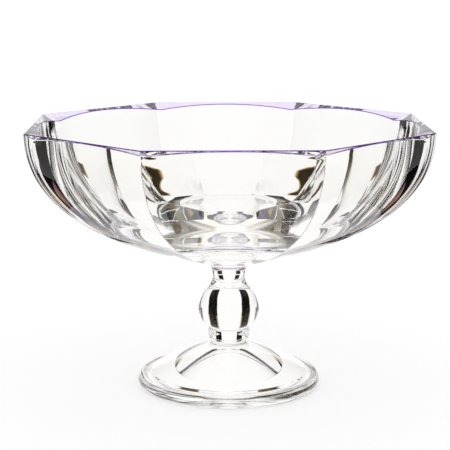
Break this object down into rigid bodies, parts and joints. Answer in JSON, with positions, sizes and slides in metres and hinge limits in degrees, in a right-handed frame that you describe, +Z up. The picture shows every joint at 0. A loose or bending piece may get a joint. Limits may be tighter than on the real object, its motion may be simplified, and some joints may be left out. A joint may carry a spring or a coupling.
{
  "type": "footed bowl",
  "caption": "Clear glass serving bowl with flat outer panels, a round hollow and a bevelled rim, raised on a baluster stem and a domed round foot.",
  "frame": {"origin": "centre of the foot on the surface that it stands on", "axes": "+Z up along the stem; one flat panel of the bowl faces -Y, and others face +X, +Y and -X"},
  "size_m": [0.2772, 0.2772, 0.191],
  "materials": {
    "clear_glass": "clear, fire polished, faintly wavy",
    "rim_tinted_glass": "clear, fire polished, with a thin violet lustre along the rim edges"
  },
  "bodies": {
    "root": {"foot": "clear_glass", "stem_collar": "clear_glass", "stem": "clear_glass", "bowl_wafer": "clear_glass", "bowl": "rim_tinted_glass"}
  },
  "joints": []
}
